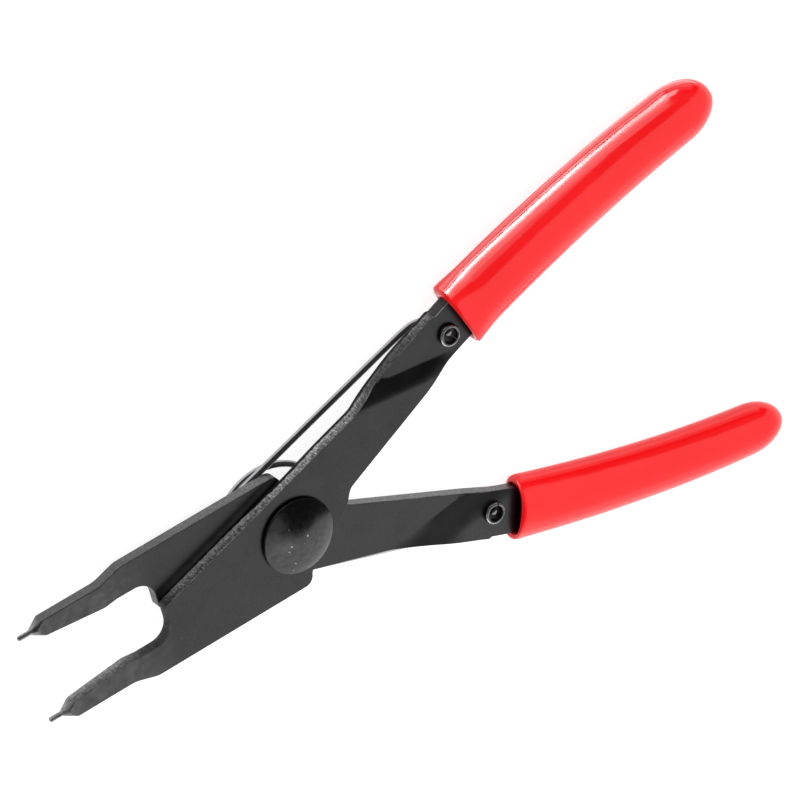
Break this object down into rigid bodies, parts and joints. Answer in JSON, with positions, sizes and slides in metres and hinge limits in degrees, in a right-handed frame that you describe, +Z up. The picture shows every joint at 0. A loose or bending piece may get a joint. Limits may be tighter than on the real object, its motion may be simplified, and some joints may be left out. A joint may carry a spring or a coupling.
{
  "type": "internal retaining ring pliers",
  "caption": "Spring-opened pliers with fixed round tips on thin stepped jaws, joggled plate levers on one domed rivet, a wire torsion spring and sleeved handles.",
  "frame": {"origin": "on the pivot axis, at the flat end of the rivet's tail, on which the tool lies", "axes": "+X from the tips to the handles, +Y to the side of the front lever's handle, +Z up along the pivot out of the rivet's domed head"},
  "size_m": [0.1969, 0.1014, 0.0126],
  "materials": {
    "lever_steel": "black oxide, satin, with lighter sheared edges",
    "rivet_steel": "black oxide, semi-gloss",
    "spring_steel": "dark oiled spring wire",
    "pin_steel": "dark steel with bright rims",
    "grip_vinyl": "glossy dipped vinyl"
  },
  "bodies": {
    "rear": {"rear_lever": "lever_steel", "pivot_rivet": "rivet_steel", "rear_roll_pin": "pin_steel", "rear_grip": "grip_vinyl", "return_spring": "spring_steel"},
    "front": {"front_lever": "lever_steel", "front_roll_pin": "pin_steel", "front_grip": "grip_vinyl"}
  },
  "joints": [
    {"name": "pivot", "type": "hinge", "parent": "rear", "child": "front", "pos_m": [0, 0, 0], "axis": [0, 0, 1], "range_deg": [-17, 0], "stiffness_Nm_per_rad": 0.5, "deforming": ["return_spring"]}
  ]
}
